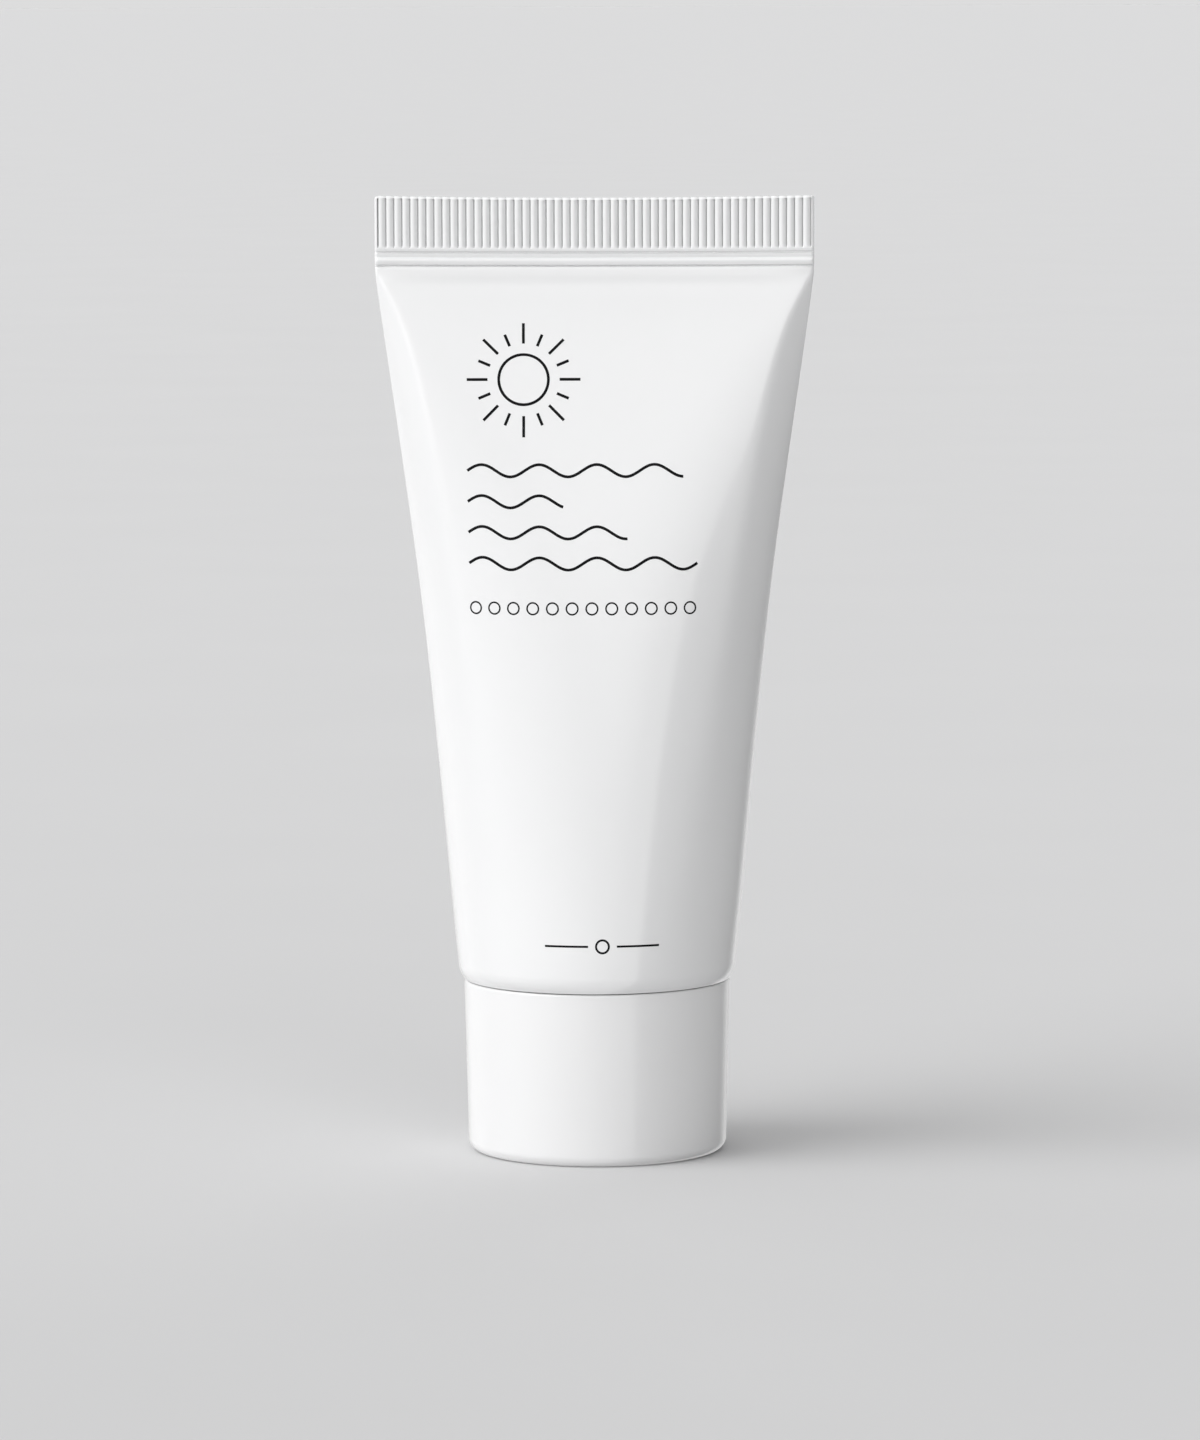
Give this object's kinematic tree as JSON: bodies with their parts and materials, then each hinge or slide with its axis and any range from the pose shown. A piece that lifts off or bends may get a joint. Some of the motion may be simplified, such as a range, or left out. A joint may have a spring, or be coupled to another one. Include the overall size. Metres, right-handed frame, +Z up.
{
  "type": "squeeze tube",
  "caption": "Filled plastic squeeze tube that tapers from a round shoulder to a flat ribbed crimp seal and stands on its smooth round screw cap.",
  "frame": {"origin": "centre of the cap's flat base, which the tube stands on", "axes": "+Z up the tube's axis from the cap to the crimped seal, +X along the crimped seal, -Y out of the printed front"},
  "size_m": [0.055, 0.035, 0.1204],
  "materials": {
    "cap_shell": "gloss",
    "cap_insert": "satin",
    "cap_liner": "matte",
    "tube_head": "satin",
    "tube_sleeve": "gloss",
    "sunscreen_cream": "gloss"
  },
  "bodies": {
    "cap": {"cap_shell": "cap_shell", "cap_insert": "cap_insert"},
    "liner": {"cap_liner": "cap_liner"},
    "tube": {"tube_head": "tube_head", "tube_sleeve": "tube_sleeve", "sunscreen_cream": "sunscreen_cream"}
  },
  "joints": [
    {"name": "cap_turn", "type": "hinge", "parent": "cap", "child": "liner", "pos_m": [0, 0, 0], "axis": [0, 0, 1], "range_deg": [0, 1800]},
    {"name": "tube_lift", "type": "slide", "parent": "liner", "child": "tube", "axis": [0, 0, 1], "range_m": [0, 0.015]}
  ],
  "couplings": [
    {"joint": "tube_lift", "follows": "cap_turn", "m_per_rad": 0.00047746}
  ]
}
